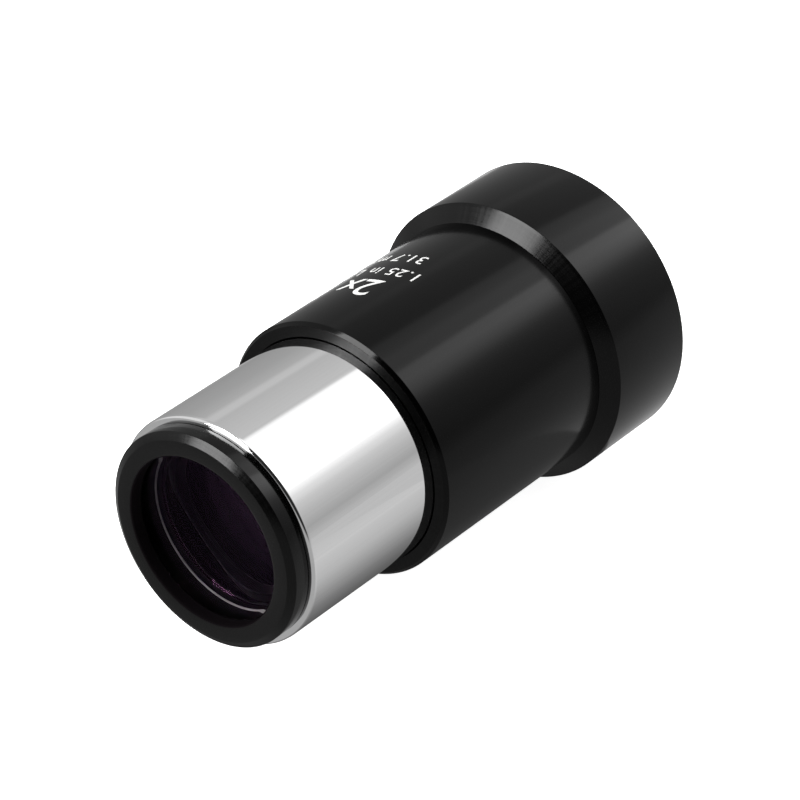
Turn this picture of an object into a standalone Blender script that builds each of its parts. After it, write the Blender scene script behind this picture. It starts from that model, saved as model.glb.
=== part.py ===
"""A 2x barlow lens with a 1.25 inch nosepiece and a 1.25 inch eyepiece socket, lying on its side.

The turned pieces share one optical axis. Each is drawn as a half section of (radius, station) points,
where a station is a place along that axis: the black body's front face is at -1 mm, higher stations lie
towards the glass and lower ones towards the eyepiece. In the world the optical axis is level, the glass
faces -Y, and the holder and the clamp screw's knob rest on the ground, z = 0.
"""

from math import asin, atan2, cos, hypot, pi, radians, sin, sqrt

import bmesh
import bpy
from mathutils import Matrix, Vector

MM = 0.001
INCH = 25.4 * MM

SEGMENTS = 64
SMALL_SEGMENTS = 32
SHARP_ANGLE = radians(28)
GAP = 0.3 * MM

# Nosepiece: the standard 1.25 inch barrel that slides into a focuser.
NOSEPIECE_RADIUS = 1.25 * INCH / 2
NOSEPIECE_FRONT = 22.2 * MM
NOSEPIECE_LIP_ROUND = 0.6 * MM
NOSEPIECE_BORE_RADIUS = 14.0 * MM
SPIGOT_RADIUS = 15.0 * MM
SPIGOT_SHOULDER = -1.7 * MM
SPIGOT_REAR = -9.0 * MM

# Body: the black tube between the nosepiece and the eyepiece holder.
BODY_RADIUS = 17.95 * MM
BODY_FACE_RADIUS = 17.5 * MM
BODY_FRONT = -1.0 * MM
BODY_CHAMFER_REAR = -1.5 * MM
BODY_COUNTERBORE_RADIUS = 16.2 * MM
BODY_COUNTERBORE_DEPTH = 1.0 * MM
BODY_WAIST_RADIUS = 14.6 * MM
BODY_SHOULDER = -33.1 * MM
NECK_RADIUS = 16.9 * MM
NECK_REAR = -39.0 * MM

# Eyepiece socket: a sliding fit on a 1.25 inch eyepiece barrel.
SOCKET_RADIUS = NOSEPIECE_RADIUS + 0.075 * MM
SOCKET_FLOOR = -18.0 * MM

# Eyepiece holder: the wide collar at the rear.
HOLDER_RADIUS = 20.2 * MM
HOLDER_CHAMFER_REAR = -34.8 * MM
HOLDER_REAR = -49.1 * MM
HOLDER_EDGE = 0.4 * MM

# Lens cell: the black ring that screws into the front of the nosepiece.
CELL_FRONT = 25.05 * MM
CELL_FACE_RADIUS = 13.95 * MM
CELL_FLANGE_RADIUS = 14.95 * MM
CELL_CHAMFER_DEPTH = 0.6 * MM
CELL_OPENING_RADIUS = 11.7 * MM
CELL_OPENING_EDGE = 0.3 * MM
CELL_LIP_REAR = 23.2 * MM
CELL_THREAD_RADIUS = 14.1 * MM
CELL_THREAD_LENGTH = 4.2 * MM
CELL_SKIRT_RADIUS = 13.7 * MM
CELL_REAR = 13.2 * MM

# Glass: a cemented negative doublet of about -58 mm focal length.
GLASS_RADIUS = 12.5 * MM
GLASS_CLEAR_RADIUS = 11.6 * MM
GLASS_FRONT_CURVE = 52.0 * MM
GLASS_CEMENT_CURVE = 36.0 * MM
GLASS_REAR_CURVE = 117.0 * MM
CROWN_CENTRE_THICKNESS = 1.8 * MM
FLINT_CENTRE_THICKNESS = 3.8 * MM
CEMENT_GAP = 0.1 * MM
CURVE_STEPS = 8

RING_THICKNESS = 1.5 * MM
RING_BORE_RADIUS = 11.3 * MM
RING_SLOT_WIDTH = 1.4 * MM
RING_SLOT_DEPTH = 0.8 * MM

# Baffles: thin rings that stop stray light.
BAFFLE_THICKNESS = 0.8 * MM
FRONT_BAFFLE_STATION = 3.0 * MM
FRONT_BAFFLE_HOLE_RADIUS = 9.6 * MM
REAR_BAFFLE_STATION = -16.4 * MM
REAR_BAFFLE_HOLE_RADIUS = 10.4 * MM

# Clamp screw: M4, through the holder's wall. Heights are distances from the optical axis.
CLAMP_STATION = -42.2 * MM
CLAMP_THREAD_RADIUS = 2.0 * MM
CLAMP_TIP_HEIGHT = 16.15 * MM
CLAMP_TIP_CHAMFER = 0.4 * MM
KNOB_RADIUS = 4.5 * MM
KNOB_LENGTH = 7.0 * MM
KNOB_CHAMFER = 0.6 * MM
KNOB_BOTTOM_HEIGHT = HOLDER_RADIUS + 1.2 * MM
KNOB_TOP_HEIGHT = KNOB_BOTTOM_HEIGHT + KNOB_LENGTH
STUD_TOP_HEIGHT = KNOB_BOTTOM_HEIGHT + 4.0 * MM
CUTTER_REACH = 3.0 * MM


def clear_scene():
    for obj in list(bpy.data.objects):
        bpy.data.objects.remove(obj, do_unlink=True)


def make_material(name, colour, roughness, metallic=0.0, transmission=0.0):
    material = bpy.data.materials.new(name)
    material.use_nodes = True
    shader = material.node_tree.nodes["Principled BSDF"]
    shader.inputs["Base Color"].default_value = (*colour, 1.0)
    shader.inputs["Roughness"].default_value = roughness
    shader.inputs["Metallic"].default_value = metallic
    shader.inputs["Transmission Weight"].default_value = transmission
    return material


def make_empty(name, matrix, parent=None):
    empty = bpy.data.objects.new(name, None)
    bpy.context.scene.collection.objects.link(empty)
    empty.parent = parent
    empty.matrix_local = matrix
    return empty


def make_object(name, mesh, parent, material=None):
    obj = bpy.data.objects.new(name, mesh)
    bpy.context.scene.collection.objects.link(obj)
    obj.parent = parent
    if material:
        mesh.materials.append(material)
    return obj


def shade(mesh):
    mesh.shade_smooth()
    mesh.set_sharp_from_angle(angle=SHARP_ANGLE)


def turned_mesh(name, section, segments=SEGMENTS):
    """The solid that a half section of (radius, station) points sweeps round local Z.

    A section that starts and ends on the axis stays open there, and any other is closed.
    """
    built = bmesh.new()
    points = [built.verts.new((radius, 0.0, station)) for radius, station in section]
    for start, end in zip(points, points[1:]):
        built.edges.new((start, end))
    if section[0][0] > 0:
        built.edges.new((points[-1], points[0]))
    bmesh.ops.spin(
        built,
        geom=built.verts[:] + built.edges[:],
        cent=(0, 0, 0),
        axis=(0, 0, 1),
        angle=2 * pi,
        steps=segments,
        use_merge=True,
    )
    bmesh.ops.remove_doubles(built, verts=built.verts[:], dist=0.001 * MM)
    bmesh.ops.recalc_face_normals(built, faces=built.faces[:])
    mesh = bpy.data.meshes.new(name)
    built.to_mesh(mesh)
    built.free()
    shade(mesh)
    return mesh


def turned(name, section, parent, material, segments=SEGMENTS):
    return make_object(name, turned_mesh(name, section, segments), parent, material)


def cut(obj, cutter):
    """Takes a hidden cutter out of an object."""
    cutter.hide_render = True
    cutter.display_type = "WIRE"
    boolean = obj.modifiers.new(f"cut_{cutter.name}", "BOOLEAN")
    boolean.operation = "DIFFERENCE"
    boolean.object = cutter


def sag(curve_radius, radius):
    """How far a spherical surface has fallen away from its vertex at a distance from the axis."""
    return curve_radius - sqrt(curve_radius**2 - radius**2)


def dome(vertex, curve_radius, rim_radius, towards_front):
    """Points of a spherical surface, from its vertex on the axis out to its rim."""
    side = 1 if towards_front else -1
    radii = [rim_radius * step / CURVE_STEPS for step in range(CURVE_STEPS + 1)]
    return [(radius, vertex + side * sag(curve_radius, radius)) for radius in radii]


def nosepiece_barrel(axis, material):
    """Plated tube: filter thread at its front, threaded spigot at its rear, rounded lip."""
    corner = NOSEPIECE_FRONT - NOSEPIECE_LIP_ROUND
    lip = [
        (
            NOSEPIECE_RADIUS - NOSEPIECE_LIP_ROUND * (1 - sin(angle)),
            corner + NOSEPIECE_LIP_ROUND * cos(angle),
        )
        for angle in (radians(degrees) for degrees in (0, 30, 60, 90))
    ]
    female_radius = CELL_THREAD_RADIUS + GAP
    thread_rear = NOSEPIECE_FRONT - CELL_THREAD_LENGTH - GAP
    section = [
        *lip,
        (NOSEPIECE_RADIUS, SPIGOT_SHOULDER),
        (SPIGOT_RADIUS, SPIGOT_SHOULDER),
        (SPIGOT_RADIUS, SPIGOT_REAR),
        (NOSEPIECE_BORE_RADIUS, SPIGOT_REAR),
        (NOSEPIECE_BORE_RADIUS, thread_rear),
        (female_radius, thread_rear),
        (female_radius, NOSEPIECE_FRONT),
    ]
    return turned("nosepiece_barrel", section, axis, material)


def body_tube(axis, material):
    """Black tube: takes the spigot at its front and carries the holder on its rear neck."""
    spigot_bore = SPIGOT_RADIUS + GAP
    spigot_floor = SPIGOT_REAR - GAP
    counterbore_floor = BODY_FRONT - BODY_COUNTERBORE_DEPTH
    section = [
        (BODY_FACE_RADIUS, BODY_FRONT),
        (BODY_RADIUS, BODY_CHAMFER_REAR),
        (BODY_RADIUS, BODY_SHOULDER),
        (NECK_RADIUS, BODY_SHOULDER),
        (NECK_RADIUS, NECK_REAR),
        (SOCKET_RADIUS, NECK_REAR),
        (SOCKET_RADIUS, SOCKET_FLOOR),
        (BODY_WAIST_RADIUS, SOCKET_FLOOR),
        (BODY_WAIST_RADIUS, spigot_floor),
        (spigot_bore, spigot_floor),
        (spigot_bore, counterbore_floor),
        (BODY_COUNTERBORE_RADIUS, counterbore_floor),
        (BODY_COUNTERBORE_RADIUS, BODY_FRONT),
    ]
    return turned("body_tube", section, axis, material)


def eyepiece_holder(axis, clamp, material):
    """Wide collar over the body's neck, drilled for the clamp screw."""
    front = BODY_SHOULDER - GAP
    neck_bore = NECK_RADIUS + GAP
    neck_floor = NECK_REAR - GAP
    section = [
        (BODY_RADIUS, front),
        (HOLDER_RADIUS, HOLDER_CHAMFER_REAR),
        (HOLDER_RADIUS, HOLDER_REAR + HOLDER_EDGE),
        (HOLDER_RADIUS - HOLDER_EDGE, HOLDER_REAR),
        (SOCKET_RADIUS + HOLDER_EDGE, HOLDER_REAR),
        (SOCKET_RADIUS, HOLDER_REAR + HOLDER_EDGE),
        (SOCKET_RADIUS, neck_floor),
        (neck_bore, neck_floor),
        (neck_bore, front),
    ]
    holder = turned("eyepiece_holder", section, axis, material)
    drill_radius = CLAMP_THREAD_RADIUS + GAP
    drill = [
        (0.0, HOLDER_RADIUS + CUTTER_REACH),
        (drill_radius, HOLDER_RADIUS + CUTTER_REACH),
        (drill_radius, SOCKET_RADIUS - CUTTER_REACH),
        (0.0, SOCKET_RADIUS - CUTTER_REACH),
    ]
    mesh = turned_mesh("clamp_drill", drill, SMALL_SEGMENTS)
    cut(holder, make_object("clamp_drill", mesh, clamp))
    return holder


def lens_cell(housing, material):
    """Threaded cell: a flange with the opening, and a skirt that holds the glass."""
    flange_rear = NOSEPIECE_FRONT + GAP
    thread_rear = NOSEPIECE_FRONT - CELL_THREAD_LENGTH
    pocket = GLASS_RADIUS + GAP
    section = [
        (CELL_OPENING_RADIUS + CELL_OPENING_EDGE, CELL_FRONT),
        (CELL_FACE_RADIUS, CELL_FRONT),
        (CELL_FLANGE_RADIUS, CELL_FRONT - CELL_CHAMFER_DEPTH),
        (CELL_FLANGE_RADIUS, flange_rear),
        (CELL_THREAD_RADIUS, flange_rear),
        (CELL_THREAD_RADIUS, thread_rear),
        (CELL_SKIRT_RADIUS, thread_rear),
        (CELL_SKIRT_RADIUS, CELL_REAR),
        (pocket, CELL_REAR),
        (pocket, CELL_LIP_REAR),
        (CELL_OPENING_RADIUS, CELL_LIP_REAR),
        (CELL_OPENING_RADIUS, CELL_FRONT - CELL_OPENING_EDGE),
    ]
    return turned("lens_cell", section, housing, material)


def glass_stations():
    """Stations of the doublet: its front rim, and the vertices of its surfaces."""
    front_rim = CELL_LIP_REAR - GAP
    front_vertex = front_rim - sag(GLASS_FRONT_CURVE, GLASS_CLEAR_RADIUS)
    crown_rear = front_vertex - CROWN_CENTRE_THICKNESS
    flint_front = crown_rear - CEMENT_GAP
    flint_rear = flint_front - FLINT_CENTRE_THICKNESS
    return front_rim, front_vertex, crown_rear, flint_front, flint_rear


def front_element(carriage, material):
    """Crown glass, hollow on both sides, with a flat ground rim at its front."""
    front_rim, front_vertex, crown_rear, _, _ = glass_stations()
    front = dome(front_vertex, GLASS_FRONT_CURVE, GLASS_CLEAR_RADIUS, True)
    rear = dome(crown_rear, GLASS_CEMENT_CURVE, GLASS_RADIUS, False)
    section = [*front, (GLASS_RADIUS, front_rim), *reversed(rear)]
    return turned("front_element", section, carriage, material)


def rear_element(carriage, material):
    """Flint glass, cemented into the crown's rear hollow."""
    _, _, _, flint_front, flint_rear = glass_stations()
    front = dome(flint_front, GLASS_CEMENT_CURVE, GLASS_RADIUS, False)
    rear = dome(flint_rear, GLASS_REAR_CURVE, GLASS_RADIUS, False)
    return turned("rear_element", [*front, *reversed(rear)], carriage, material)


def lens_retaining_ring(housing, material):
    """Threaded ring behind the glass, with a spanner slot on each side."""
    _, _, _, _, flint_rear = glass_stations()
    front = flint_rear - sag(GLASS_REAR_CURVE, GLASS_RADIUS) - GAP
    rear = front - RING_THICKNESS
    section = [
        (GLASS_RADIUS, front),
        (GLASS_RADIUS, rear),
        (RING_BORE_RADIUS, rear),
        (RING_BORE_RADIUS, front),
    ]
    ring = turned("lens_retaining_ring", section, housing, material)
    built = bmesh.new()
    bmesh.ops.create_cube(built, size=1.0)
    across = 2 * (GLASS_RADIUS + CUTTER_REACH)
    size = Matrix.Diagonal((across, RING_SLOT_WIDTH, 2 * RING_SLOT_DEPTH, 1.0))
    place = Matrix.Translation((0, 0, rear))
    bmesh.ops.transform(built, matrix=place @ size, verts=built.verts[:])
    mesh = bpy.data.meshes.new("spanner_slot")
    built.to_mesh(mesh)
    built.free()
    cut(ring, make_object("spanner_slot", mesh, housing))
    return ring


def baffle(name, outer_radius, hole_radius, station, axis, material):
    """Light stop, sharpened towards its rear so that its bore shows no bright wall."""
    section = [
        (outer_radius, station),
        (outer_radius, station - BAFFLE_THICKNESS),
        (hole_radius, station - BAFFLE_THICKNESS),
        (hole_radius + BAFFLE_THICKNESS / 2, station),
    ]
    return turned(name, section, axis, material)


def clamp_screw_stud(slide, material):
    section = [
        (0.0, STUD_TOP_HEIGHT),
        (CLAMP_THREAD_RADIUS, STUD_TOP_HEIGHT),
        (CLAMP_THREAD_RADIUS, CLAMP_TIP_HEIGHT + CLAMP_TIP_CHAMFER),
        (CLAMP_THREAD_RADIUS - CLAMP_TIP_CHAMFER, CLAMP_TIP_HEIGHT),
        (0.0, CLAMP_TIP_HEIGHT),
    ]
    return turned("clamp_screw_stud", section, slide, material, SMALL_SEGMENTS)


def clamp_screw_knob(turn, material):
    """Grip with a blind hole for the stud."""
    hole_radius = CLAMP_THREAD_RADIUS + GAP
    hole_floor = STUD_TOP_HEIGHT + GAP
    section = [
        (0.0, KNOB_TOP_HEIGHT),
        (KNOB_RADIUS - KNOB_CHAMFER, KNOB_TOP_HEIGHT),
        (KNOB_RADIUS, KNOB_TOP_HEIGHT - KNOB_CHAMFER),
        (KNOB_RADIUS, KNOB_BOTTOM_HEIGHT + KNOB_CHAMFER),
        (KNOB_RADIUS - KNOB_CHAMFER, KNOB_BOTTOM_HEIGHT),
        (hole_radius, KNOB_BOTTOM_HEIGHT),
        (hole_radius, hole_floor),
        (0.0, hole_floor),
    ]
    return turned("clamp_screw_knob", section, turn, material, SMALL_SEGMENTS)


def clamp_matrix():
    """Local Z out along the clamp screw, which dips until the knob rests on the ground."""
    edge_height = KNOB_TOP_HEIGHT - KNOB_CHAMFER
    dip = asin(HOLDER_RADIUS / hypot(edge_height, KNOB_RADIUS)) - atan2(KNOB_RADIUS, edge_height)
    outwards = Vector((-cos(dip), -sin(dip), 0.0))
    along = Vector((0.0, 0.0, 1.0))
    turn = Matrix((along, outwards.cross(along), outwards)).transposed()
    return Matrix.Translation((0.0, 0.0, CLAMP_STATION)) @ turn.to_4x4()


def rest_on_ground(axis, objects):
    """Moves the whole model so that the centre of its box's base is the origin."""
    bpy.context.view_layer.update()
    corners = [obj.matrix_world @ Vector(corner) for obj in objects for corner in obj.bound_box]
    low = Vector(min(corner[i] for corner in corners) for i in range(3))
    high = Vector(max(corner[i] for corner in corners) for i in range(3))
    axis.location.x -= (low.x + high.x) / 2
    axis.location.y -= (low.y + high.y) / 2


def main():
    clear_scene()
    anodised = make_material("black_anodised", (0.018, 0.018, 0.019), 0.42, 0.3)
    holder_finish = make_material("black_anodised_holder", (0.020, 0.020, 0.021), 0.40, 0.3)
    cell_finish = make_material("black_cell", (0.022, 0.022, 0.023), 0.38, 0.3)
    inner_finish = make_material("flat_black", (0.010, 0.010, 0.010), 0.80)
    chrome = make_material("polished_chrome", (0.80, 0.80, 0.81), 0.06, 1.0)
    steel = make_material("bright_steel", (0.55, 0.55, 0.56), 0.25, 1.0)
    knob_finish = make_material("black_knob", (0.020, 0.020, 0.020), 0.35, 0.3)
    crown = make_material("coated_crown", (0.93, 0.90, 0.97), 0.0, transmission=1.0)
    flint = make_material("coated_flint", (0.94, 0.93, 0.96), 0.0, transmission=1.0)

    level = Matrix.Rotation(pi / 2, 4, "X")
    axis = make_empty("optical_axis", Matrix.Translation((0, 0, HOLDER_RADIUS)) @ level)
    carriage = make_empty("cell_slide", Matrix.Identity(4), axis)
    housing = make_empty("cell_turn", Matrix.Identity(4), carriage)
    clamp = make_empty("clamp_hole", clamp_matrix(), axis)
    clamp_slide = make_empty("clamp_slide", Matrix.Identity(4), clamp)
    clamp_turn = make_empty("clamp_turn", Matrix.Identity(4), clamp_slide)

    pieces = [
        nosepiece_barrel(axis, chrome),
        body_tube(axis, anodised),
        eyepiece_holder(axis, clamp, holder_finish),
        baffle(
            "front_baffle",
            NOSEPIECE_BORE_RADIUS - GAP,
            FRONT_BAFFLE_HOLE_RADIUS,
            FRONT_BAFFLE_STATION,
            axis,
            inner_finish,
        ),
        baffle(
            "rear_baffle",
            BODY_WAIST_RADIUS - GAP,
            REAR_BAFFLE_HOLE_RADIUS,
            REAR_BAFFLE_STATION,
            axis,
            inner_finish,
        ),
        lens_cell(housing, cell_finish),
        front_element(carriage, crown),
        rear_element(carriage, flint),
        lens_retaining_ring(housing, inner_finish),
        clamp_screw_stud(clamp_slide, steel),
        clamp_screw_knob(clamp_turn, knob_finish),
    ]
    rest_on_ground(axis, pieces)


main()
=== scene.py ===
"""The looks of the 2x barlow lens: fine turned surfaces, glass, finishes, studio light and camera.

Each visible piece is turned again, finer than its CAD solid, from a half section of (radius, station)
points in millimetres. A station is a place along the optical axis: the black body's front face is at -1,
higher stations lie towards the glass and lower ones towards the eyepiece. A third value on a point rounds
that corner.
"""

import math

import bmesh
import bpy
from mathutils import Matrix, Vector


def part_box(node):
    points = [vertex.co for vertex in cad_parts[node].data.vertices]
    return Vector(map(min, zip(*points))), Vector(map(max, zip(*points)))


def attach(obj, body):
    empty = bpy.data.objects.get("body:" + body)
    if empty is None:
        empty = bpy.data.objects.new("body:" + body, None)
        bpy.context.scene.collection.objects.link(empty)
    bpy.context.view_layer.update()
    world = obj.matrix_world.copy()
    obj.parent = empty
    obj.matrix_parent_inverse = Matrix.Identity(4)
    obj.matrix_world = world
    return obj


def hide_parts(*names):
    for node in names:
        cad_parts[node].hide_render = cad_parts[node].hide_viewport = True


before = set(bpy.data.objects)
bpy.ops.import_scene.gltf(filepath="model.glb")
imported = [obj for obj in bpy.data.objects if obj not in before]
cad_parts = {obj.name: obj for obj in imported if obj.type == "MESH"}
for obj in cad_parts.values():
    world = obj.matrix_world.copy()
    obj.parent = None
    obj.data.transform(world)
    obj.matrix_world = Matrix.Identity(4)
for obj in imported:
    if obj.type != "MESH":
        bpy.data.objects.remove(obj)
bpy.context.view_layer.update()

MM = 0.001

# Lengths from here to the studio are in millimetres, as in the half sections. The gap is what touching
# pieces and threads leave between them.
GAP = 0.3

NOSE_RADIUS = 15.875
NOSE_FRONT = 22.2
NOSE_LIP_ROUND = 0.6
NOSE_BORE_RADIUS = 14.0
SPIGOT_RADIUS = 15.0
SPIGOT_SHOULDER = -1.7
SPIGOT_REAR = -9.0

BODY_RADIUS = 17.95
BODY_FRONT = -1.0
BODY_FACE_RADIUS = 17.5
BODY_CHAMFER_REAR = -1.5
COUNTERBORE_RADIUS = 16.0
COUNTERBORE_FLOOR = -2.0
WAIST_RADIUS = 14.6
BODY_SHOULDER = -33.1
NECK_RADIUS = 16.9
NECK_REAR = -39.0
SOCKET_RADIUS = 15.95
SOCKET_FLOOR = -18.0

HOLDER_RADIUS = 20.2
HOLDER_FRONT = BODY_SHOULDER - 0.05
HOLDER_CHAMFER_REAR = -34.8
HOLDER_REAR = -49.1
HOLDER_EDGE_ROUND = 0.35
HOLDER_BORE_CHAMFER = 0.4

CELL_FRONT = 25.05
CELL_FACE_RADIUS = 13.95
CELL_FLANGE_RADIUS = 14.95
CELL_FLANGE_REAR = NOSE_FRONT + 0.06
CELL_CHAMFER = 0.6
CELL_OPENING_RADIUS = 11.7
CELL_OPENING_ROUND = 0.3
CELL_LIP_REAR = 23.2
CELL_THREAD_RADIUS = 14.1
CELL_THREAD_REAR = 18.0
CELL_THREAD_PITCH = 0.6
CELL_THREAD_DEPTH = 0.25
CELL_SKIRT_RADIUS = 13.7
CELL_REAR = 13.2

GLASS_RADIUS = 12.5
GLASS_CLEAR_RADIUS = 11.6
FRONT_CURVE = 52.0
CEMENT_CURVE = 36.0
REAR_CURVE = 117.0
CROWN_THICKNESS = 1.8
CEMENT_THICKNESS = 0.1
FLINT_THICKNESS = 3.8
GLASS_BEVEL = 0.2
REAR_BEVEL_WIDTH = 0.5
REAR_BEVEL_DEPTH = 0.35

RING_BORE_RADIUS = 11.3
RING_THICKNESS = 1.5

BAFFLE_THICKNESS = 0.8
BAFFLE_SLOPE = 0.4

# The bores' ridges against stray light, a shallow sawtooth, and the stations between which each runs.
RIDGE_PITCH = 0.8
RIDGE_DEPTH = 0.22
RIDGE_LAND = 0.12
WAIST_RIDGES = (-17.4, -10.0)
NOSE_RIDGES = (-8.4, 17.0)

# Clamp screw: its heights are distances from the optical axis.
CLAMP_STATION = -42.2
CLAMP_THREAD_RADIUS = 2.0
CLAMP_THREAD_PITCH = 0.7
CLAMP_THREAD_DEPTH = 0.38
CLAMP_TIP_HEIGHT = 16.15
CLAMP_TIP_CHAMFER = 0.4
STUD_TOP_HEIGHT = 25.4
KNOB_RADIUS = 4.5
KNOB_BOTTOM_HEIGHT = 21.4
KNOB_TOP_HEIGHT = 28.4
KNOB_CHAMFER = 0.6
KNOB_RECESS_RADIUS = 2.9
KNOB_RECESS_DEPTH = 0.3
KNURL_TEETH = 40
KNURL_DEPTH = 0.2
KNURL_FADE = 0.4

# Fineness of the meshes.
SEGMENTS = 192
GLASS_SEGMENTS = 128
STUD_SEGMENTS = 64
KNOB_SEGMENTS = 240
DRILL_SEGMENTS = 48
ROUND_STEPS = 4
DOME_STEPS = 24
STEPS_PER_PITCH = 8
KNURL_STEP = 0.2
SHARP_ANGLE = math.radians(32)

# The most of a neighbouring edge that a corner's rounding takes.
ROUND_SHARE = 0.45

# How near a point has to be to count as on the axis, on a round or flat surface, or on a sphere.
ON_AXIS = 1e-6
ON_SURFACE = 0.01
ON_SPHERE = 0.02

# The optical axis, read from the body tube: its centre line, and the plane of its front face.
tube_low, tube_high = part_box("body_tube")
AXIS_ORIGIN = Vector(
    ((tube_low.x + tube_high.x) / 2, tube_low.y + BODY_FRONT * MM, (tube_low.z + tube_high.z) / 2)
)
AXIS = Matrix.Translation(AXIS_ORIGIN) @ Matrix.Rotation(math.pi / 2, 4, "X")


# ---------------------------------------------------------------- shader nodes


def add_node(tree, kind, **settings):
    made = tree.nodes.new(kind)
    for name, value in settings.items():
        setattr(made, name, value)
    return made


def connect(tree, source, target):
    """Joins a socket, or sets a plain value."""
    if isinstance(source, bpy.types.NodeSocket):
        tree.links.new(source, target)
    else:
        target.default_value = source


def calculate(tree, operation, *values):
    made = add_node(tree, "ShaderNodeMath", operation=operation)
    for value, target in zip(values, made.inputs):
        connect(tree, value, target)
    return made.outputs[0]


def between(tree, value, low, high, to_low=0.0, to_high=1.0, smooth=False):
    """Carries a value from one range to another, and holds it at the second range's ends."""
    made = add_node(
        tree,
        "ShaderNodeMapRange",
        interpolation_type="SMOOTHSTEP" if smooth else "LINEAR",
        clamp=True,
    )
    for name, wanted in (
        ("Value", value),
        ("From Min", low),
        ("From Max", high),
        ("To Min", to_low),
        ("To Max", to_high),
    ):
        connect(tree, wanted, made.inputs[name])
    return made.outputs[0]


def noise_at(tree, vector, scale, detail=2.0):
    """Noise over a vector: scale is features for each unit of it."""
    made = add_node(tree, "ShaderNodeTexNoise", noise_dimensions="3D")
    made.inputs["Scale"].default_value = scale
    made.inputs["Detail"].default_value = detail
    tree.links.new(vector, made.inputs["Vector"])
    return made.outputs["Fac"]


def noise(tree, scale, stretch=(1, 1, 1), detail=2.0):
    """Noise over the piece's own coordinates: scale is features per metre."""
    coordinates = add_node(tree, "ShaderNodeTexCoord")
    mapping = add_node(tree, "ShaderNodeMapping")
    mapping.inputs["Scale"].default_value = stretch
    tree.links.new(coordinates.outputs["Object"], mapping.inputs["Vector"])
    return noise_at(tree, mapping.outputs["Vector"], scale, detail)


def round_coordinates(tree):
    """Two vectors on a turned piece: its (radius, station) in metres, and the direction from its axis."""
    coordinates = add_node(tree, "ShaderNodeTexCoord")
    split = add_node(tree, "ShaderNodeSeparateXYZ")
    tree.links.new(coordinates.outputs["Object"], split.inputs[0])
    flat = add_node(tree, "ShaderNodeCombineXYZ")
    tree.links.new(split.outputs["X"], flat.inputs["X"])
    tree.links.new(split.outputs["Y"], flat.inputs["Y"])
    radius = add_node(tree, "ShaderNodeVectorMath", operation="LENGTH")
    tree.links.new(flat.outputs[0], radius.inputs[0])
    direction = add_node(tree, "ShaderNodeVectorMath", operation="NORMALIZE")
    tree.links.new(flat.outputs[0], direction.inputs[0])
    section = add_node(tree, "ShaderNodeCombineXYZ")
    tree.links.new(radius.outputs["Value"], section.inputs["X"])
    tree.links.new(split.outputs["Z"], section.inputs["Y"])
    return section.outputs[0], direction.outputs[0]


def add_bump(tree, shader, height, distance):
    bump = add_node(tree, "ShaderNodeBump")
    bump.inputs["Distance"].default_value = distance
    tree.links.new(height, bump.inputs["Height"])
    tree.links.new(bump.outputs["Normal"], shader.inputs["Normal"])


def colour_mix(tree, factor, low, high):
    mix = add_node(tree, "ShaderNodeMix", data_type="RGBA")
    connect(tree, factor, mix.inputs["Factor"])
    mix.inputs["A"].default_value = (*low, 1.0)
    mix.inputs["B"].default_value = (*high, 1.0)
    return mix.outputs["Result"]


def grey(level):
    return (level, level, level)


# ---------------------------------------------------------------- materials


def new_material(name):
    """A material with Blender's standard shader: the material, its node tree and the shader."""
    material = bpy.data.materials.new(name)
    material.use_nodes = True
    tree = material.node_tree
    return material, tree, tree.nodes["Principled BSDF"]


def bare_material(name):
    """A material without a shader: the material, its node tree and the socket that a shader goes into."""
    material = bpy.data.materials.new(name)
    material.use_nodes = True
    tree = material.node_tree
    tree.nodes.clear()
    output = add_node(tree, "ShaderNodeOutputMaterial")
    return material, tree, output.inputs["Surface"]


def anodised(name, colour, roughness, specular, stretch=0.5):
    """Dyed anodised aluminium: turning marks round the axis, and faint streaks along it.

    stretch says how far the marks draw out a reflection across them.
    """
    material, tree, shader = new_material(name)
    section, direction = round_coordinates(tree)
    marks = noise_at(tree, section, scale=5000, detail=3)
    streaks = noise_at(tree, direction, scale=45, detail=4)
    uneven = calculate(tree, "ADD", marks, streaks)
    smoothest = roughness * 0.75
    roughest = roughness * 1.35
    tree.links.new(
        between(tree, uneven, low=0.7, high=1.3, to_low=smoothest, to_high=roughest),
        shader.inputs["Roughness"],
    )
    shader.inputs["Base Color"].default_value = (*colour, 1.0)
    shader.inputs["Specular IOR Level"].default_value = specular
    shader.inputs["Anisotropic"].default_value = stretch
    shader.inputs["Anisotropic Rotation"].default_value = 0.25
    tangent = add_node(tree, "ShaderNodeTangent", direction_type="RADIAL", axis="Z")
    tree.links.new(tangent.outputs["Tangent"], shader.inputs["Tangent"])
    add_bump(tree, shader, marks, distance=0.001 * MM)
    return material


def chrome_plate():
    """Bright plate with faint lengthwise polishing streaks and turning marks."""
    material, tree, shader = new_material("chrome_plate")
    shader.inputs["Metallic"].default_value = 1.0
    section, direction = round_coordinates(tree)
    marks = noise_at(tree, section, scale=3000)
    streaks = noise_at(tree, direction, scale=60, detail=5)
    tree.links.new(
        colour_mix(tree, streaks, (0.86, 0.86, 0.865), (0.93, 0.93, 0.93)),
        shader.inputs["Base Color"],
    )
    tree.links.new(
        between(tree, streaks, low=0.3, high=0.7, to_low=0.03, to_high=0.07),
        shader.inputs["Roughness"],
    )
    add_bump(tree, shader, marks, distance=0.0003 * MM)
    return material


def flat_black():
    """Dull black lining that gives back almost no light."""
    material, tree, shader = new_material("flat_black_lining")
    grain = noise(tree, scale=4000, detail=3)
    tree.links.new(
        colour_mix(tree, grain, (0.0022, 0.0017, 0.0020), (0.0042, 0.0034, 0.0040)),
        shader.inputs["Base Color"],
    )
    shader.inputs["Roughness"].default_value = 1.0
    shader.inputs["Specular IOR Level"].default_value = 0.0
    add_bump(tree, shader, grain, distance=0.01 * MM)
    return material


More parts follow.
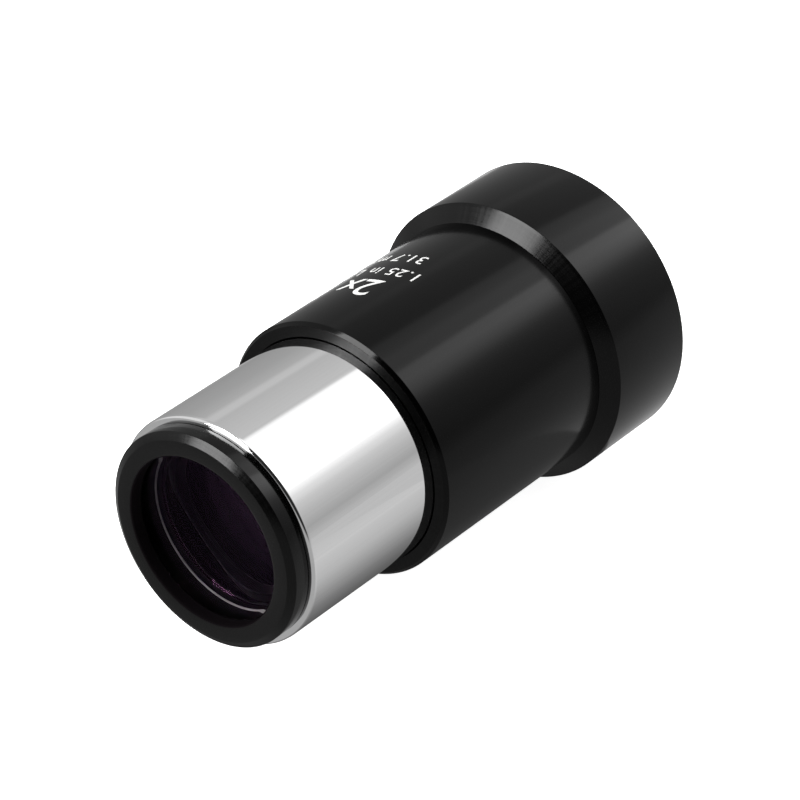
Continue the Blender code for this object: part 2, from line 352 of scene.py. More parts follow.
def bare_metal(name, colour, roughness):
    """Machined metal whose marks run round local Z."""
    material, tree, shader = new_material(name)
    shader.inputs["Metallic"].default_value = 1.0
    marks = noise(tree, scale=100, stretch=(1, 1, 60), detail=3)
    darker = tuple(channel * 0.85 for channel in colour)
    smoothest = roughness - 0.06
    roughest = roughness + 0.08
    tree.links.new(colour_mix(tree, marks, darker, colour), shader.inputs["Base Color"])
    tree.links.new(
        between(tree, marks, low=0.3, high=0.7, to_low=smoothest, to_high=roughest),
        shader.inputs["Roughness"],
    )
    return material


def coated_glass(name, tint, index):
    """Clear glass. Its coating leaves only a weak coloured share of the glass's own reflection."""
    coating_share = 0.18
    material, tree, surface_socket = bare_material(name)
    passed = add_node(tree, "ShaderNodeBsdfRefraction")
    passed.inputs["Color"].default_value = (0.97, 0.96, 0.97, 1.0)
    passed.inputs["Roughness"].default_value = 0.0
    passed.inputs["IOR"].default_value = index
    mirrored = add_node(tree, "ShaderNodeBsdfAnisotropic")
    mirrored.inputs["Color"].default_value = (*tint, 1.0)
    mirrored.inputs["Roughness"].default_value = 0.02
    fresnel = add_node(tree, "ShaderNodeFresnel")
    fresnel.inputs["IOR"].default_value = index
    share = calculate(tree, "MULTIPLY", fresnel.outputs[0], coating_share)
    mixed = add_node(tree, "ShaderNodeMixShader")
    tree.links.new(share, mixed.inputs[0])
    tree.links.new(passed.outputs[0], mixed.inputs[1])
    tree.links.new(mirrored.outputs[0], mixed.inputs[2])
    tree.links.new(mixed.outputs[0], surface_socket)
    return material


def optical_cement():
    """The two cemented surfaces, between which light passes straight through."""
    material, tree, surface_socket = bare_material("optical_cement")
    clear = add_node(tree, "ShaderNodeBsdfTransparent")
    clear.inputs["Color"].default_value = (0.99, 0.985, 0.99, 1.0)
    tree.links.new(clear.outputs[0], surface_socket)
    return material


def paint(name, colour, specular):
    """Dull paint or ink with a fine grain."""
    material, tree, shader = new_material(name)
    grain = noise(tree, scale=6000)
    worn = tuple(channel * 0.93 for channel in colour)
    tree.links.new(colour_mix(tree, grain, worn, colour), shader.inputs["Base Color"])
    shader.inputs["Roughness"].default_value = 0.5
    shader.inputs["Specular IOR Level"].default_value = specular
    return material


def glowing(name, colour, strength):
    """Dull paper that also gives off white light."""
    material, _, shader = new_material(name)
    shader.inputs["Base Color"].default_value = (*colour, 1.0)
    shader.inputs["Roughness"].default_value = 1.0
    shader.inputs["Specular IOR Level"].default_value = 0.0
    shader.inputs["Emission Color"].default_value = (1.0, 1.0, 1.0, 1.0)
    shader.inputs["Emission Strength"].default_value = strength
    return material


body_black = anodised("anodised_body", grey(0.0002), roughness=0.13, specular=0.165)
faced_black = anodised("anodised_faced", grey(0.0004), roughness=0.38, specular=0.16, stretch=0.95)
holder_black = anodised("anodised_holder", grey(0.0004), roughness=0.12, specular=0.20)
chamfer_black = anodised("anodised_chamfer", grey(0.0004), roughness=0.20, specular=0.22, stretch=0.0)
cell_black = anodised("anodised_cell", grey(0.0006), roughness=0.11, specular=0.24)
knob_black = anodised("anodised_knob", grey(0.0020), roughness=0.20, specular=0.25)
chrome = chrome_plate()
lining = flat_black()
steel = bare_metal("machined_steel", (0.62, 0.62, 0.63), roughness=0.26)
ring_black = anodised("anodised_ring", (0.0020, 0.0018, 0.0020), roughness=0.35, specular=0.12)
crown_glass = coated_glass("crown_glass", (0.75, 0.45, 0.90), index=1.52)
flint_glass = coated_glass("flint_glass", (0.60, 0.32, 0.60), index=1.62)
cement = optical_cement()
edge_black = paint("blackened_glass_edge", (0.003, 0.0025, 0.003), specular=0.05)
bevel_grey = paint("ground_glass_bevel", (0.32, 0.31, 0.32), specular=0.1)
white_ink = paint("white_ink", (0.66, 0.66, 0.65), specular=0.2)


# ---------------------------------------------------------------- turned shapes


def rounded(outline, closed=True):
    """(radius, station) points of an outline whose corners may carry a rounding as a third value."""
    points = []
    for index, corner in enumerate(outline):
        here = Vector(corner[:2])
        rounding = corner[2] if len(corner) > 2 else 0.0
        at_end = not closed and index in (0, len(outline) - 1)
        if not rounding or at_end:
            points.append(here)
            continue
        before = Vector(outline[index - 1][:2]) - here
        after = Vector(outline[(index + 1) % len(outline)][:2]) - here
        half = before.angle(after) / 2
        longest = min(before.length, after.length) * ROUND_SHARE
        reach = min(rounding / math.tan(half), longest)
        start = here + before.normalized() * reach
        end = here + after.normalized() * reach
        for step in range(ROUND_STEPS + 1):
            share = step / ROUND_STEPS
            points.append(
                start * (1 - share) ** 2 + here * 2 * share * (1 - share) + end * share**2
            )
    return points


def line(start, end, spacing):
    """Points along a straight line, so that a surface can be shaped between its ends."""
    start, end = Vector(start), Vector(end)
    steps = max(1, round((end - start).length / spacing))
    return [tuple(start.lerp(end, step / steps)) for step in range(steps + 1)]


def ridges(radius, start, end):
    """Sawtooth points of an anti-reflection thread in a bore, from one station to another."""
    count = max(1, round(abs(end - start) / RIDGE_PITCH))
    step = (end - start) / count
    points = []
    for index in range(count):
        station = start + step * index
        points.append((radius, station + step * RIDGE_LAND))
        points.append((radius + RIDGE_DEPTH, station + step / 2))
        points.append((radius, station + step * (1 - RIDGE_LAND)))
    return points


def sag(curve, radius):
    """How far a spherical surface has fallen away from its vertex at a distance from the axis."""
    return curve - math.sqrt(curve**2 - radius**2)


def dome(vertex, curve, rim, side):
    """Points of a spherical surface, from its vertex out to its rim.

    side is 1 where the rim lies further forward than the vertex, and -1 where it lies further back.
    """
    radii = [rim * step / DOME_STEPS for step in range(DOME_STEPS + 1)]
    return [(radius, vertex + side * sag(curve, radius)) for radius in radii]


def spin(name, points, segments=SEGMENTS):
    """A closed mesh swept by (radius, station) points, in millimetres, round local Z."""
    built = bmesh.new()
    rings = []
    for radius, station in points:
        if radius < ON_AXIS:
            rings.append([built.verts.new((0, 0, station * MM))])
            continue
        ring = []
        for step in range(segments):
            angle = 2 * math.pi * step / segments
            x = radius * MM * math.cos(angle)
            y = radius * MM * math.sin(angle)
            ring.append(built.verts.new((x, y, station * MM)))
        rings.append(ring)
    pairs = list(zip(rings, rings[1:]))
    if len(rings[0]) > 1:
        pairs.append((rings[-1], rings[0]))
    for first, second in pairs:
        for step in range(segments):
            after = (step + 1) % segments
            corners = [
                first[step % len(first)],
                first[after % len(first)],
                second[after % len(second)],
                second[step % len(second)],
            ]
            corners = list(dict.fromkeys(corners))
            if len(corners) > 2:
                built.faces.new(corners)
    bmesh.ops.recalc_face_normals(built, faces=built.faces[:])
    mesh = bpy.data.meshes.new(name)
    built.to_mesh(mesh)
    built.free()
    return mesh


def shade(mesh):
    mesh.shade_smooth()
    mesh.set_sharp_from_angle(angle=SHARP_ANGLE)


def triangle_wave(turns):
    """0 at whole turns, rising to 1 half way between."""
    return 1 - abs(2 * (turns % 1) - 1)


def carve(mesh, radius, low, high, fade_length, depth, turns_at):
    """Grooves in the round surface of that radius, between two stations, fading out at both.

    turns_at gives the wave's turns at a share of a whole turn round the axis and a station.
    """
    for vertex in mesh.vertices:
        x, y, station = (value / MM for value in vertex.co)
        if abs(math.hypot(x, y) - radius) > ON_SURFACE or not low <= station <= high:
            continue
        fade = min(1.0, (station - low) / fade_length, (high - station) / fade_length)
        wave = triangle_wave(turns_at(math.atan2(y, x) / (2 * math.pi), station))
        moved = radius - depth * fade * wave
        vertex.co.x *= moved / radius
        vertex.co.y *= moved / radius


def cut_thread(mesh, radius, low, high, pitch, depth):
    """A helical groove. A negative depth cuts outwards, as in a bore."""
    carve(mesh, radius, low, high, pitch, depth, lambda turn, station: station / pitch - turn)


def cut_knurl(mesh, radius, low, high, teeth, depth):
    """Straight V grooves along a grip."""
    carve(mesh, radius, low, high, KNURL_FADE, depth, lambda turn, station: teeth * turn)


def finish_faces(mesh, material, radius_range, station_range):
    """Gives the faces whose centre lies in both ranges, in millimetres, one of the piece's materials."""
    slot_index = mesh.materials.find(material.name)
    for face in mesh.polygons:
        radius = math.hypot(face.center.x, face.center.y) / MM
        station = face.center.z / MM
        inside = radius_range[0] <= radius <= radius_range[1]
        if inside and station_range[0] <= station <= station_range[1]:
            face.material_index = slot_index


def place(name, mesh, matrix, body, materials, replaced=None):
    """Adds a piece that rides on a body. It may stand for a CAD node, which it then hides."""
    obj = bpy.data.objects.new(name, mesh)
    bpy.context.scene.collection.objects.link(obj)
    for material in materials:
        mesh.materials.append(material)
    obj.matrix_world = matrix
    shade(mesh)
    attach(obj, body)
    if replaced:
        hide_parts(replaced)
    return obj


def evaluated_mesh(obj):
    """A new mesh of an object's shape with its modifiers applied, or of a text's letters."""
    bpy.context.view_layer.update()
    depsgraph = bpy.context.evaluated_depsgraph_get()
    return bpy.data.meshes.new_from_object(obj.evaluated_get(depsgraph))


# ---------------------------------------------------------------- body, holder, nosepiece, baffles


def make_body():
    spigot_bore = SPIGOT_RADIUS + GAP
    spigot_floor = SPIGOT_REAR - GAP
    outline = [
        (COUNTERBORE_RADIUS, BODY_FRONT, 0.05),
        (BODY_FACE_RADIUS, BODY_FRONT, 0.06),
        (BODY_RADIUS, BODY_CHAMFER_REAR, 0.12),
        (BODY_RADIUS, BODY_SHOULDER, 0.05),
        (NECK_RADIUS, BODY_SHOULDER),
        (NECK_RADIUS, NECK_REAR, 0.1),
        (SOCKET_RADIUS, NECK_REAR, 0.1),
        (SOCKET_RADIUS, SOCKET_FLOOR),
        (WAIST_RADIUS, SOCKET_FLOOR, 0.1),
        *ridges(WAIST_RADIUS, *WAIST_RIDGES),
        (WAIST_RADIUS, spigot_floor, 0.1),
        (spigot_bore, spigot_floor),
        (spigot_bore, COUNTERBORE_FLOOR),
        (COUNTERBORE_RADIUS, COUNTERBORE_FLOOR),
    ]
    mesh = spin("body_tube_surface", rounded(outline))
    place(
        "body_tube_visual",
        mesh,
        AXIS,
        "tube",
        [body_black, lining, faced_black],
        replaced="body_tube",
    )
    bore = (0, COUNTERBORE_RADIUS - 0.01)
    front_face = (COUNTERBORE_RADIUS + 0.03, BODY_FACE_RADIUS - 0.03)
    finish_faces(mesh, lining, bore, (NECK_REAR + 0.1, BODY_FRONT - 0.1))
    at_front = (BODY_FRONT - ON_SURFACE, BODY_FRONT + ON_SURFACE)
    finish_faces(mesh, faced_black, front_face, at_front)


def make_holder():
    neck_bore = NECK_RADIUS + GAP
    neck_floor = NECK_REAR - GAP
    bore_edge = HOLDER_REAR + HOLDER_BORE_CHAMFER
    outline = [
        (BODY_RADIUS, HOLDER_FRONT, 0.03),
        (HOLDER_RADIUS, HOLDER_CHAMFER_REAR, 0.10),
        (HOLDER_RADIUS, HOLDER_REAR, HOLDER_EDGE_ROUND),
        (SOCKET_RADIUS + HOLDER_BORE_CHAMFER, HOLDER_REAR, 0.08),
        (SOCKET_RADIUS, bore_edge, 0.08),
        (SOCKET_RADIUS, neck_floor, 0.05),
        (neck_bore, neck_floor),
        (neck_bore, HOLDER_FRONT),
    ]
    mesh = spin("eyepiece_holder_surface", rounded(outline))
    holder = place(
        "eyepiece_holder_visual",
        mesh,
        AXIS,
        "tube",
        [holder_black, lining, chamfer_black],
        replaced="eyepiece_holder",
    )
    chamfer = (BODY_RADIUS + 0.01, HOLDER_RADIUS - 0.08)
    chamfer_length = (HOLDER_CHAMFER_REAR + 0.05, HOLDER_FRONT - 0.01)
    finish_faces(mesh, lining, (0, SOCKET_RADIUS + 0.01), (bore_edge, neck_floor))
    finish_faces(mesh, chamfer_black, chamfer, chamfer_length)
    return holder


def make_nosepiece():
    thread_radius = CELL_THREAD_RADIUS + GAP
    thread_rear = CELL_THREAD_REAR - GAP
    thread_spacing = CELL_THREAD_PITCH / STEPS_PER_PITCH
    outline = [
        (thread_radius, NOSE_FRONT, 0.08),
        (NOSE_RADIUS, NOSE_FRONT, NOSE_LIP_ROUND),
        (NOSE_RADIUS, SPIGOT_SHOULDER),
        (SPIGOT_RADIUS, SPIGOT_SHOULDER),
        (SPIGOT_RADIUS, SPIGOT_REAR, 0.1),
        (NOSE_BORE_RADIUS, SPIGOT_REAR, 0.1),
        *ridges(NOSE_BORE_RADIUS, *NOSE_RIDGES),
        (NOSE_BORE_RADIUS, thread_rear),
        *line((thread_radius, thread_rear), (thread_radius, NOSE_FRONT - 0.2), thread_spacing),
    ]
    mesh = spin("nosepiece_surface", rounded(outline))
    cut_thread(
        mesh,
        thread_radius,
        thread_rear,
        NOSE_FRONT - 0.1,
        CELL_THREAD_PITCH,
        -CELL_THREAD_DEPTH,
    )
    place(
        "nosepiece_visual",
        mesh,
        AXIS,
        "tube",
        [chrome, lining],
        replaced="nosepiece_barrel",
    )
    finish_faces(mesh, lining, (0, SPIGOT_RADIUS - 0.1), (SPIGOT_REAR, thread_rear - 0.02))


def make_baffle(node, outer_radius, hole_radius, station):
    """Light stop, sharpened towards its rear so that its bore shows no bright wall."""
    rear = station - BAFFLE_THICKNESS
    outline = [
        (outer_radius, station, 0.05),
        (outer_radius, rear, 0.05),
        (hole_radius, rear, 0.03),
        (hole_radius + BAFFLE_SLOPE, station, 0.05),
    ]
    mesh = spin(node + "_surface", rounded(outline))
    place(node + "_visual", mesh, AXIS, "tube", [lining], replaced=node)


make_body()
holder = make_holder()
make_nosepiece()
make_baffle("front_baffle", outer_radius=13.7, hole_radius=9.6, station=3.0)
make_baffle("rear_baffle", outer_radius=14.3, hole_radius=10.4, station=-16.4)


# ---------------------------------------------------------------- lens cell, ring and glass


def make_cell():
    pocket_radius = GLASS_RADIUS + GAP
    chamfer_rear = CELL_FRONT - CELL_CHAMFER
    thread_front = (CELL_THREAD_RADIUS, NOSE_FRONT)
    thread_rear = (CELL_THREAD_RADIUS, CELL_THREAD_REAR)
    outline = [
        (CELL_OPENING_RADIUS, CELL_FRONT, CELL_OPENING_ROUND),
        (CELL_FACE_RADIUS, CELL_FRONT, 0.06),
        (CELL_FLANGE_RADIUS, chamfer_rear, 0.08),
        (CELL_FLANGE_RADIUS, CELL_FLANGE_REAR, 0.05),
        (CELL_THREAD_RADIUS, CELL_FLANGE_REAR),
        *line(thread_front, thread_rear, CELL_THREAD_PITCH / STEPS_PER_PITCH),
        (CELL_SKIRT_RADIUS, CELL_THREAD_REAR),
        (CELL_SKIRT_RADIUS, CELL_REAR, 0.1),
        (pocket_radius, CELL_REAR, 0.05),
        (pocket_radius, CELL_LIP_REAR),
        (CELL_OPENING_RADIUS, CELL_LIP_REAR, 0.05),
    ]
    mesh = spin("lens_cell_surface", rounded(outline))
    cut_thread(
        mesh,
        CELL_THREAD_RADIUS,
        CELL_THREAD_REAR,
        NOSE_FRONT,
        CELL_THREAD_PITCH,
        CELL_THREAD_DEPTH,
    )
    place(
        "lens_cell_visual",
        mesh,
        AXIS,
        "cell",
        [cell_black, lining, chamfer_black],
        replaced="lens_cell",
    )
    chamfer = (CELL_FACE_RADIUS + 0.04, CELL_FLANGE_RADIUS - 0.04)
    opening = (0, CELL_OPENING_RADIUS + 0.25)
    finish_faces(mesh, chamfer_black, chamfer, (chamfer_rear + 0.04, CELL_FRONT - 0.04))
    finish_faces(mesh, lining, (0, pocket_radius + 0.01), (CELL_REAR, CELL_LIP_REAR + 0.1))
    finish_faces(mesh, lining, opening, (CELL_LIP_REAR, CELL_FRONT - 0.01))


def finish_glass(mesh, cement_vertex):
    """Marks the cemented surface, which lies on a sphere, the blackened edge and the sloping bevels."""
    centre = cement_vertex - CEMENT_CURVE
    edge_depth = 0.05
    flat_enough = 0.9
    cement_slot, edge_slot, bevel_slot = (
        mesh.materials.find(material.name) for material in (cement, edge_black, bevel_grey)
    )
    for face in mesh.polygons:
        radius = math.hypot(face.center.x, face.center.y) / MM
        station = face.center.z / MM
        off_sphere = abs(math.hypot(radius, station - centre) - CEMENT_CURVE)
        if off_sphere < ON_SPHERE:
            face.material_index = cement_slot
        elif radius > GLASS_RADIUS - edge_depth:
            face.material_index = edge_slot
        elif radius > GLASS_RADIUS - GLASS_BEVEL and abs(face.normal.z) < flat_enough:
            face.material_index = bevel_slot


def make_glass():
    """The crown and flint elements. Returns the station of the flint's rear rim."""
    bevel_radius = GLASS_RADIUS - GLASS_BEVEL
    front_rim = CELL_LIP_REAR - GAP
    front_vertex = front_rim - sag(FRONT_CURVE, GLASS_CLEAR_RADIUS)
    crown_rear = front_vertex - CROWN_THICKNESS
    flint_front = crown_rear - CEMENT_THICKNESS
    flint_rear = flint_front - FLINT_THICKNESS
    cement_sag = sag(CEMENT_CURVE, bevel_radius)
    rear_rim = flint_rear - sag(REAR_CURVE, GLASS_RADIUS)
    crown_points = [
        *dome(front_vertex, FRONT_CURVE, GLASS_CLEAR_RADIUS, 1),
        (bevel_radius, front_rim),
        (GLASS_RADIUS, front_rim - GLASS_BEVEL),
        (GLASS_RADIUS, crown_rear - cement_sag + GLASS_BEVEL),
        *reversed(dome(crown_rear, CEMENT_CURVE, bevel_radius, -1)),
    ]
    flint_points = [
        *dome(flint_front, CEMENT_CURVE, bevel_radius, -1),
        (GLASS_RADIUS, flint_front - cement_sag - GLASS_BEVEL),
        (GLASS_RADIUS, rear_rim + REAR_BEVEL_DEPTH),
        *reversed(dome(flint_rear, REAR_CURVE, GLASS_RADIUS - REAR_BEVEL_WIDTH, -1)),
    ]
    for node, slot, glass, points, cement_vertex in (
        ("front_element", "coated_crown", crown_glass, crown_points, crown_rear),
        ("rear_element", "coated_flint", flint_glass, flint_points, flint_front),
    ):
        mesh = spin(node + "_surface", points, GLASS_SEGMENTS)
        place(
            node + "_visual",
            mesh,
            AXIS,
            "glass",
            [glass, cement, edge_black, bevel_grey],
            replaced=node,
        )
        finish_glass(mesh, cement_vertex)
    return rear_rim


def make_retaining_ring(glass_rear):
    front = glass_rear - GAP
    rear = front - RING_THICKNESS
    outline = [
        (GLASS_RADIUS, front, 0.08),
        (GLASS_RADIUS, rear, 0.08),
        (RING_BORE_RADIUS, rear, 0.1),
        (RING_BORE_RADIUS, front, 0.1),
    ]
    mesh = spin("retaining_ring_surface", rounded(outline))
    place(
        "lens_retaining_ring_visual",
        mesh,
        AXIS,
        "cell",
        [ring_black],
        replaced="lens_retaining_ring",
    )


make_cell()
make_retaining_ring(make_glass())


# ---------------------------------------------------------------- clamp screw


def clamp_matrix():
    """Local Z out along the clamp screw, from the optical axis to the middle of the CAD knob."""
    knob_low, knob_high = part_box("clamp_screw_knob")
    knob_centre = (knob_low + knob_high) / 2
    foot = AXIS @ Vector((0, 0, CLAMP_STATION * MM))
    outwards = Vector((knob_centre.x - foot.x, 0, knob_centre.z - foot.z)).normalized()
    along = Vector((0, -1, 0))
    turn = Matrix((along, outwards.cross(along), outwards)).transposed()
    return Matrix.Translation(foot) @ turn.to_4x4()


CLAMP = clamp_matrix()


def make_stud():
    thread_top = STUD_TOP_HEIGHT - 0.1
    thread_bottom = CLAMP_TIP_HEIGHT + 0.45
    thread_spacing = CLAMP_THREAD_PITCH / STEPS_PER_PITCH
    top = (CLAMP_THREAD_RADIUS, thread_top)
    bottom = (CLAMP_THREAD_RADIUS, thread_bottom)
    outline = [
        (0.0, STUD_TOP_HEIGHT),
        (CLAMP_THREAD_RADIUS, STUD_TOP_HEIGHT),
        *line(top, bottom, thread_spacing),
        (CLAMP_THREAD_RADIUS - CLAMP_TIP_CHAMFER, CLAMP_TIP_HEIGHT),
        (0.0, CLAMP_TIP_HEIGHT),
    ]
    mesh = spin("clamp_stud_surface", rounded(outline, closed=False), STUD_SEGMENTS)
    cut_thread(
        mesh,
        CLAMP_THREAD_RADIUS,
        thread_bottom,
        thread_top,
        CLAMP_THREAD_PITCH,
        CLAMP_THREAD_DEPTH,
    )
    place(
        "clamp_screw_stud_visual",
        mesh,
        CLAMP,
        "clamp_stud",
        [steel],
        replaced="clamp_screw_stud",
    )


def make_knob():
    """Knurled grip with a shallow recess in its end and a blind hole for the stud."""
    hole_radius = CLAMP_THREAD_RADIUS + GAP
    hole_floor = STUD_TOP_HEIGHT + GAP
    recess_floor = KNOB_TOP_HEIGHT - KNOB_RECESS_DEPTH
    grip_top = KNOB_TOP_HEIGHT - KNOB_CHAMFER
    grip_bottom = KNOB_BOTTOM_HEIGHT + KNOB_CHAMFER
    outline = [
        (0.0, recess_floor),
        (KNOB_RECESS_RADIUS - KNOB_RECESS_DEPTH, recess_floor, 0.1),
        (KNOB_RECESS_RADIUS, KNOB_TOP_HEIGHT, 0.1),
        (KNOB_RADIUS - KNOB_CHAMFER, KNOB_TOP_HEIGHT, 0.15),
        *line((KNOB_RADIUS, grip_top), (KNOB_RADIUS, grip_bottom), KNURL_STEP),
        (KNOB_RADIUS - KNOB_CHAMFER, KNOB_BOTTOM_HEIGHT, 0.15),
        (hole_radius, KNOB_BOTTOM_HEIGHT, 0.1),
        (hole_radius, hole_floor),
        (0.0, hole_floor),
    ]
    mesh = spin("clamp_knob_surface", rounded(outline, closed=False), KNOB_SEGMENTS)
    cut_knurl(mesh, KNOB_RADIUS, grip_bottom, grip_top, KNURL_TEETH, KNURL_DEPTH)
    place(
        "clamp_screw_knob_visual",
        mesh,
        CLAMP,
        "clamp_knob",
        [knob_black],
        replaced="clamp_screw_knob",
    )


def drill_clamp_hole(holder):
    """Cuts the screw's hole, with a countersink at its mouth, through the holder's wall."""
    hole_radius = CLAMP_THREAD_RADIUS + GAP
    countersink_radius = 2.9
    countersink_top = HOLDER_RADIUS + 0.3
    countersink_floor = HOLDER_RADIUS - 0.5
    drill_top = 23.0
    drill_bottom = 12.0
    outline = [
        (0.0, drill_top),
        (countersink_radius, drill_top),
        (countersink_radius, countersink_top),
        (hole_radius, countersink_floor),
        (hole_radius, drill_bottom),
        (0.0, drill_bottom),
    ]
    drill = bpy.data.objects.new("clamp_drill", spin("clamp_drill", outline, DRILL_SEGMENTS))
    bpy.context.scene.collection.objects.link(drill)
    drill.matrix_world = CLAMP
    cut = holder.modifiers.new("clamp_hole", "BOOLEAN")
    cut.operation = "DIFFERENCE"
    cut.object = drill
    drilled = evaluated_mesh(holder)
    holder.modifiers.clear()
    holder.data = drilled
    shade(drilled)
    bpy.data.objects.remove(drill)


make_stud()
make_knob()
drill_clamp_hole(holder)


# ---------------------------------------------------------------- lettering

# The text size that gives letters of one unit's height, and the ink's thickness and lift in millimetres.
SIZE_PER_HEIGHT = 1.38
INK = 0.012
LONGEST_LETTER_EDGE = 0.5
LETTER_CUTS = 3


def letter(name, text, height, station, angle, spacing=1.0):
    """Ink on the body: text whose top points to the glass, starting at an angle round the axis."""
    curve = bpy.data.curves.new(name, "FONT")
    curve.body = text
    curve.size = height * SIZE_PER_HEIGHT
    curve.space_character = spacing
    curve.extrude = INK
    curve.resolution_u = 6
    written = bpy.data.objects.new(name, curve)
    bpy.context.scene.collection.objects.link(written)
    mesh = evaluated_mesh(written)
    bpy.data.objects.remove(written)
    built = bmesh.new()
    built.from_mesh(mesh)
    for _ in range(LETTER_CUTS):
        long_edges = [edge for edge in built.edges if edge.calc_length() > LONGEST_LETTER_EDGE]
        if long_edges:
            bmesh.ops.subdivide_edges(built, edges=long_edges, cuts=1)
            bmesh.ops.triangulate(built, faces=built.faces[:])
    for vertex in built.verts:
        turned_by = math.radians(angle) + vertex.co.x / BODY_RADIUS
        radius = BODY_RADIUS + INK + vertex.co.z
        vertex.co = Vector(
            (radius * math.cos(turned_by), radius * math.sin(turned_by), station + vertex.co.y)
        ) * MM
    built.to_mesh(mesh)
    built.free()
    mesh.name = name
    place(name, mesh, AXIS, "tube", [white_ink])


letter("lettering_power", "2x BARLOW", height=4.8, station=-14.7, angle=99.0)
letter("lettering_size", "1.25 in LENS", height=2.1, station=-18.45, angle=89.0, spacing=1.1)
letter("lettering_metric", "31.7 mm", height=2.1, station=-22.6, angle=96.5, spacing=1.1)


# ---------------------------------------------------------------- studio: floor and reflector cards

# Lengths from here on are in metres.
FLOOR_REACH = 30.0
CARD_HEIGHT = 0.0004


def studio_sheet(name, left, front, right, rear, height, material):
    """A flat rectangle of the studio, which isn't seen through the glass."""
    mesh = bpy.data.meshes.new(name)
    corners = ((left, front), (right, front), (right, rear), (left, rear))
    mesh.from_pydata([(x, y, height) for x, y in corners], [], [(0, 1, 2, 3)])
    mesh.materials.append(material)
    sheet = bpy.data.objects.new(name, mesh)
    bpy.context.scene.collection.objects.link(sheet)
    sheet.visible_transmission = False
    return sheet


def lay_floor():
    """Pale paper, which isn't mirrored in the metal."""
    paper = glowing("white_paper", grey(0.9), strength=0.92)
    floor = studio_sheet(
        "floor",
        left=-FLOOR_REACH,
        front=-FLOOR_REACH,
        right=FLOOR_REACH,
        rear=FLOOR_REACH,
        height=0.0,
        material=paper,
    )
    floor.visible_glossy = False


def floor_card(name, left, front, right, rear, strength):
    """A white card lying on the floor, which only reflections see."""
    paper = glowing(name, grey(0.0), strength)
    card = studio_sheet(name, left, front, right, rear, CARD_HEIGHT, paper)
    card.visible_camera = False
    card.visible_diffuse = False
    card.visible_shadow = False


lay_floor()
# One card lights the holder's underside, the other the body's upper edge.
floor_card("holder_card", left=-0.010, front=0.033, right=0.25, rear=0.35, strength=0.55)
floor_card("edge_card", left=-0.078, front=0.056, right=-0.010, rear=0.35, strength=0.85)


# ---------------------------------------------------------------- studio: walls

# Radiance of the studio's walls to the sides and towards +Y, by degrees round the optical axis from +X.
# The round starts and ends at the seam.
SEAM = -134.0
SURROUND = [
    (-134, 0.13),
    (-115, 0.113),
    (-99, 0.144),
    (-83, 0.205),
    (-67, 0.32),
    (-47, 0.50),
    (-27, 0.61),
    (-11, 0.57),
    (5, 0.39),
    (17, 0.50),
    (27, 0.62),
    (35, 0.83),
    (41, 1.1),
    (45, 1.55),
    (53, 2.7),
    (61, 3.5),
    (70, 3.3),
    (72, 1.9),
    (84, 1.8),
    (89, 1.4),
    (99, 1.08),
    (101.5, 0.57),
    (118, 0.53),
    (132, 0.49),
    (136, 0.565),
    (141, 0.56),
    (146, 0.44),
    (165, 0.37),
    (201, 0.31),
    (209, 0.40),
    (217, 0.50),
    (226, 0.80),
]
BRIGHTEST = 3.5

# Radiance of the studio towards -Y, which the glass and the turned front faces mirror.
LEFT_WALL = 0.75
RIGHT_WALL = 0.02
GROUND = 0.40


def surround_brightness(tree, x, z):
    """The SURROUND stops as a ramp round the optical axis."""
    around = calculate(tree, "DEGREES", calculate(tree, "ARCTAN2", z, x))
    past_seam = calculate(tree, "SUBTRACT", around, SEAM)
    share = calculate(tree, "FRACT", calculate(tree, "DIVIDE", past_seam, 360.0))
    ramp = add_node(tree, "ShaderNodeValToRGB")
    stops = ramp.color_ramp.elements
    while len(stops) > 1:
        stops.remove(stops[0])
    for index, (angle, level) in enumerate(SURROUND):
        position = (angle - SEAM) / 360.0
        stop = stops[0] if index == 0 else stops.new(position)
        stop.position = position
        stop.color = (*grey(level / BRIGHTEST), 1.0)
    tree.links.new(share, ramp.inputs[0])
    return calculate(tree, "MULTIPLY", ramp.outputs[0], BRIGHTEST)


def front_brightness(tree, x, y, z):
    """A bright wall on the left, a dark one on the right, and the ground below both."""
    heading = calculate(tree, "DEGREES", calculate(tree, "ARCTAN2", y, x))
    wall = between(
        tree, heading, low=-134.0, high=-128.0, to_low=LEFT_WALL, to_high=RIGHT_WALL, smooth=True
    )
    return between(tree, z, low=-0.15, high=0.1, to_low=GROUND, to_high=wall, smooth=True)


def seen_as_backdrop(tree, y):
    """1 where the studio is seen directly, or straight through the lens along its axis."""
    path = add_node(tree, "ShaderNodeLightPath")
    along_axis = between(tree, calculate(tree, "ABSOLUTE", y), low=0.72, high=0.80)
    through = calculate(tree, "MULTIPLY", path.outputs["Is Transmission Ray"], along_axis)
    return calculate(tree, "MAXIMUM", path.outputs["Is Camera Ray"], through)


def white_background(tree):
    made = add_node(tree, "ShaderNodeBackground")
    made.inputs["Color"].default_value = (1.0, 1.0, 1.0, 1.0)
    return made


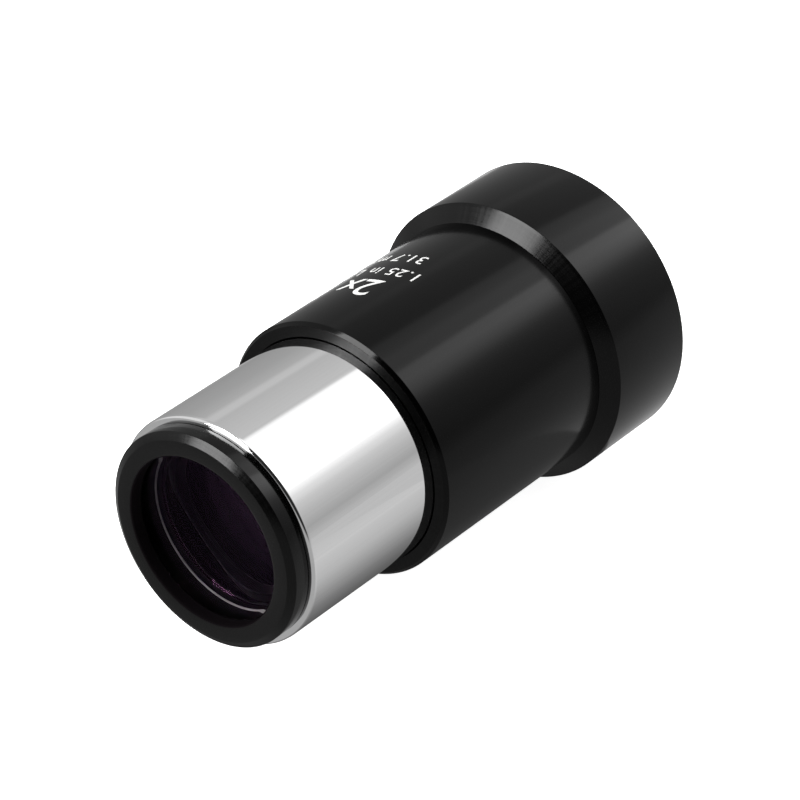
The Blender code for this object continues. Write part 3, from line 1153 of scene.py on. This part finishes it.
def build_world():
    """Plain white as a backdrop, and the studio's walls in reflections and as light."""
    world = bpy.data.worlds.new("studio")
    bpy.context.scene.world = world
    world.use_nodes = True
    tree = world.node_tree
    tree.nodes.clear()
    coordinates = add_node(tree, "ShaderNodeTexCoord")
    split = add_node(tree, "ShaderNodeSeparateXYZ")
    tree.links.new(coordinates.outputs["Generated"], split.inputs[0])
    x, y, z = split.outputs
    mixed = add_node(tree, "ShaderNodeMix", data_type="FLOAT")
    towards_rear = between(tree, y, low=-0.25, high=0.15, smooth=True)
    tree.links.new(towards_rear, mixed.inputs["Factor"])
    tree.links.new(front_brightness(tree, x, y, z), mixed.inputs["A"])
    tree.links.new(surround_brightness(tree, x, z), mixed.inputs["B"])
    walls = white_background(tree)
    tree.links.new(mixed.outputs["Result"], walls.inputs["Strength"])
    backdrop = white_background(tree)
    backdrop.inputs["Strength"].default_value = 1.0
    pick = add_node(tree, "ShaderNodeMixShader")
    tree.links.new(seen_as_backdrop(tree, y), pick.inputs[0])
    tree.links.new(walls.outputs[0], pick.inputs[1])
    tree.links.new(backdrop.outputs[0], pick.inputs[2])
    output = add_node(tree, "ShaderNodeOutputWorld")
    tree.links.new(pick.outputs[0], output.inputs[0])


build_world()


# ---------------------------------------------------------------- studio: light and camera

CAMERA_LENS = 158.9
CAMERA_SENSOR = 36.0


def stand_off(obj, target, azimuth, elevation, distance):
    """Stands an object off a target and turns it to look there. Azimuth is in degrees round +Z from +X."""
    turn, rise = math.radians(azimuth), math.radians(elevation)
    away = Vector(
        (math.cos(turn) * math.cos(rise), math.sin(turn) * math.cos(rise), math.sin(rise))
    )
    bpy.context.scene.collection.objects.link(obj)
    obj.location = target + away * distance
    obj.rotation_mode = "QUATERNION"
    obj.rotation_quaternion = (-away).to_track_quat("-Z", "Y")


def key_light(width, height, radiance):
    light = bpy.data.lights.new("key_softbox", "AREA")
    light.shape = "RECTANGLE"
    light.size = width
    light.size_y = height
    light.energy = radiance * math.pi * width * height
    softbox = bpy.data.objects.new("key_softbox", light)
    stand_off(softbox, Vector((0, 0, 0.02)), azimuth=-116, elevation=36, distance=0.9)


def add_camera():
    view = bpy.data.cameras.new("camera")
    view.lens = CAMERA_LENS
    view.sensor_width = CAMERA_SENSOR
    view.clip_start = 0.01
    view.clip_end = 50.0
    camera = bpy.data.objects.new("camera", view)
    aim = Vector((0.0070, -0.0036, 0.0260))
    stand_off(camera, aim, azimuth=-50.9, elevation=33.1, distance=0.4509)
    bpy.context.scene.camera = camera


key_light(width=0.44, height=0.90, radiance=13.0)
add_camera()
bpy.context.scene.view_settings.view_transform = "Standard"

bpy.context.view_layer.update()
